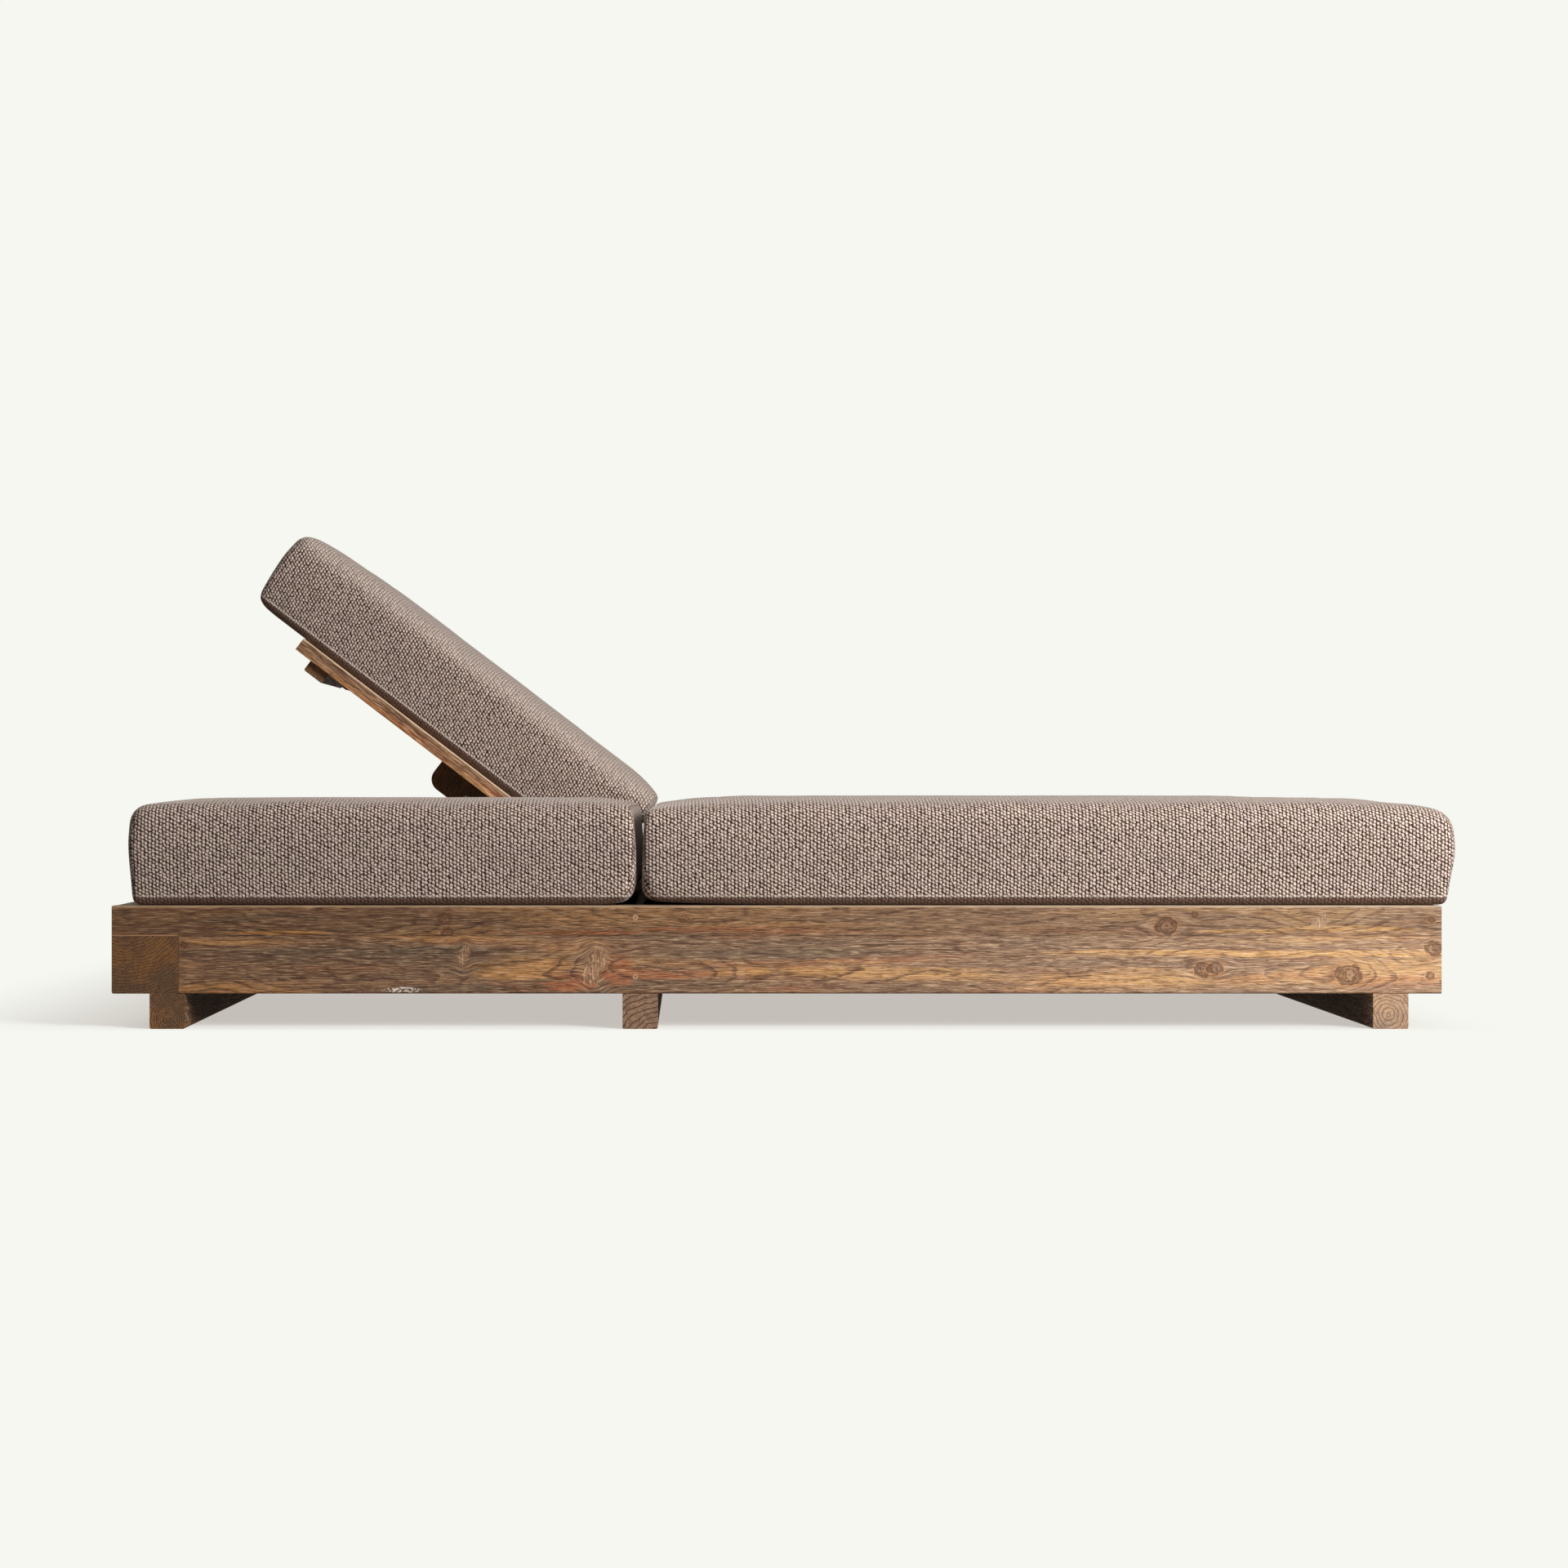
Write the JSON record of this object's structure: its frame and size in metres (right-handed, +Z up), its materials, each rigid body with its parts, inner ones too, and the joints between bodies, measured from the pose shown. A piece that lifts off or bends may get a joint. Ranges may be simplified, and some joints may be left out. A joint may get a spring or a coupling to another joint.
{
  "type": "double sun lounger",
  "caption": "Low slatted teak lounger for two side by side, with thick seat and back cushions and a separately hinged back on each half.",
  "frame": {"origin": "on the floor, under the middle of the whole lounger", "axes": "+X from the head end to the foot end, +Y from the near half to the far half, +Z up"},
  "size_m": [2.027, 1.6006, 0.8044],
  "materials": {
    "teak": "weathered, dull",
    "teak_dark": "weathered, dull",
    "steel": "brushed",
    "fabric": "coarse woven, matt"
  },
  "bodies": {
    "base": {"head_end_beam": "teak_dark", "head_end_lip": "teak", "near_rail_lower": "teak", "near_rail_upper": "teak", "far_rail_lower": "teak", "far_rail_upper": "teak", "centre_rail_lower": "teak", "centre_rail_upper": "teak", "foot_rail_lower": "teak", "foot_rail_upper": "teak", "head_leg_beam": "teak_dark", "middle_leg_beam": "teak_dark", "foot_leg_beam": "teak_dark", "near_hinge_beam": "teak", "far_hinge_beam": "teak", "near_seat_bearers": "teak_dark", "far_seat_bearers": "teak_dark", "near_seat_ledgers": "teak_dark", "far_seat_ledgers": "teak_dark", "near_seat_slats": "teak", "far_seat_slats": "teak", "near_prop_rack": "teak_dark", "far_prop_rack": "teak_dark", "leg_screws": "steel", "rail_screws": "steel", "rail_plugs": "teak_dark", "near_frame_hinge_leaves": "steel", "far_frame_hinge_leaves": "steel", "near_frame_hinge_screws": "steel", "far_frame_hinge_screws": "steel", "near_hinge_pins": "steel", "far_hinge_pins": "steel", "near_seat_cushion": "fabric", "far_seat_cushion": "fabric"},
    "near_back": {"near_back_slats": "teak", "near_head_battens": "teak_dark", "near_middle_batten": "teak_dark", "near_foot_batten": "teak_dark", "near_prop_cleats": "teak_dark", "near_prop_bolt": "steel", "near_back_hinge_leaves": "steel", "near_back_hinge_screws": "steel"},
    "near_prop_board": {"near_prop": "teak_dark"},
    "near_back_pad": {"near_back_cushion": "fabric"},
    "far_back": {"far_back_slats": "teak", "far_head_battens": "teak_dark", "far_middle_batten": "teak_dark", "far_foot_batten": "teak_dark", "far_prop_cleats": "teak_dark", "far_prop_bolt": "steel", "far_back_hinge_leaves": "steel", "far_back_hinge_screws": "steel"},
    "far_prop_board": {"far_prop": "teak_dark"},
    "far_back_pad": {"far_back_cushion": "fabric"}
  },
  "joints": [
    {"name": "near_back_hinge", "type": "hinge", "parent": "base", "child": "near_back", "pos_m": [-0.2515, -0.39, 0.178], "axis": [0, 1, 0], "range_deg": [0, 50]},
    {"name": "far_back_hinge", "type": "hinge", "parent": "base", "child": "far_back", "pos_m": [-0.2515, 0.39, 0.178], "axis": [0, 1, 0], "range_deg": [-37.4, 12.6]},
    {"name": "near_prop_pivot", "type": "hinge", "parent": "near_back", "child": "near_prop_board", "pos_m": [-0.5925, -0.39, 0.123], "axis": [0, 1, 0], "range_deg": [-119.1, 0]},
    {"name": "far_prop_pivot", "type": "hinge", "parent": "far_back", "child": "far_prop_board", "pos_m": [-0.5558, 0.39, 0.34142], "axis": [0, 1, 0], "range_deg": [-30.09, 89.11]},
    {"name": "near_cushion_slide", "type": "slide", "parent": "near_back", "child": "near_back_pad", "axis": [-1, 0, 0], "range_m": [0, 0.1126]},
    {"name": "far_cushion_slide", "type": "slide", "parent": "far_back", "child": "far_back_pad", "axis": [-0.7944, 0, 0.6074], "range_m": [-0.08425, 0.02845]}
  ],
  "couplings": [
    {"joint": "near_prop_pivot", "follows": "near_back_hinge", "ratio": -2.38},
    {"joint": "near_cushion_slide", "follows": "near_back_hinge", "m_per_rad": 0.12892},
    {"joint": "far_prop_pivot", "follows": "far_back_hinge", "ratio": -2.38},
    {"joint": "far_cushion_slide", "follows": "far_back_hinge", "m_per_rad": 0.12892}
  ]
}
